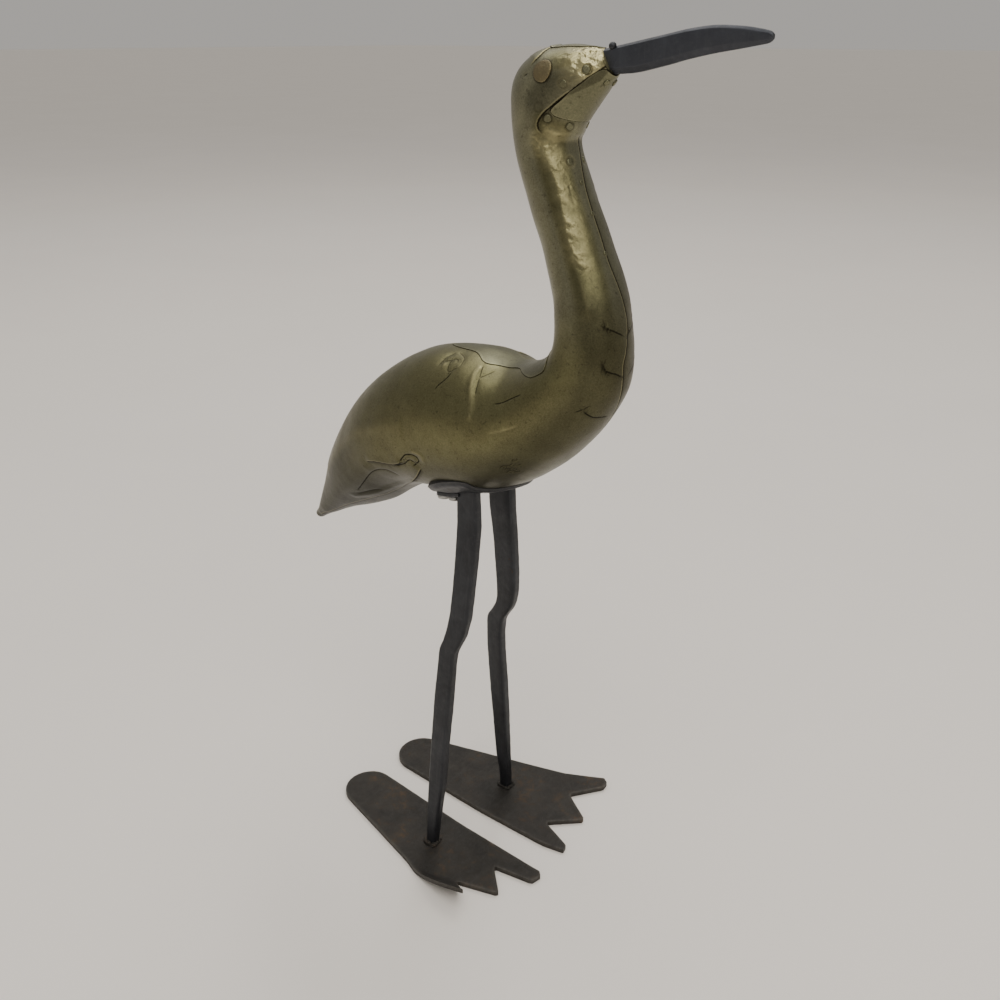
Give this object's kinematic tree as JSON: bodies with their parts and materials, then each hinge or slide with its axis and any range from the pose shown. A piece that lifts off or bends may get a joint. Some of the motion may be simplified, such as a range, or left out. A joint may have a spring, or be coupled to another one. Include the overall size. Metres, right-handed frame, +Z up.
{
  "type": "crane figurine",
  "caption": "Standing crane figurine with a long neck and bill, a body of joined brass sheet, and dark iron legs on flat toed feet.",
  "frame": {"origin": "on the floor, below the middle of the whole bird's box", "axes": "+X is forward, the way the bill points, +Y is the bird's left side, +Z is up"},
  "size_m": [0.2486, 0.1276, 0.4058],
  "materials": {
    "body_brass": "aged, hand-rubbed satin",
    "plate_brass": "aged, hand-rubbed satin",
    "eye_copper": "dull brown copper",
    "black_iron": "blackened, waxed",
    "foot_iron": "blackened, with light rust",
    "bolt_steel": "worn bright"
  },
  "bodies": {
    "root": {"right_shell": "body_brass", "left_shell": "body_brass", "crown_plate": "plate_brass", "throat_plate": "plate_brass", "back_plate": "plate_brass", "right_cheek_rivet": "plate_brass", "right_jaw_rivet": "plate_brass", "right_throat_rivet": "plate_brass", "right_collar_rivet": "plate_brass", "right_neck_rivet": "plate_brass", "right_breast_rivet": "plate_brass", "left_cheek_rivet": "plate_brass", "left_jaw_rivet": "plate_brass", "left_throat_rivet": "plate_brass", "left_collar_rivet": "plate_brass", "left_neck_rivet": "plate_brass", "left_breast_rivet": "plate_brass", "seam_nail_1": "plate_brass", "seam_nail_2": "plate_brass", "seam_nail_3": "plate_brass", "right_eye": "eye_copper", "left_eye": "eye_copper", "hip_plate": "black_iron", "bill": "black_iron", "bill_stud": "black_iron", "right_leg": "black_iron", "left_leg": "black_iron", "right_foot": "foot_iron", "left_foot": "foot_iron", "right_hip_bolt_1": "bolt_steel", "right_hip_bolt_2": "bolt_steel", "left_hip_bolt_1": "bolt_steel", "left_hip_bolt_2": "bolt_steel"}
  },
  "joints": []
}
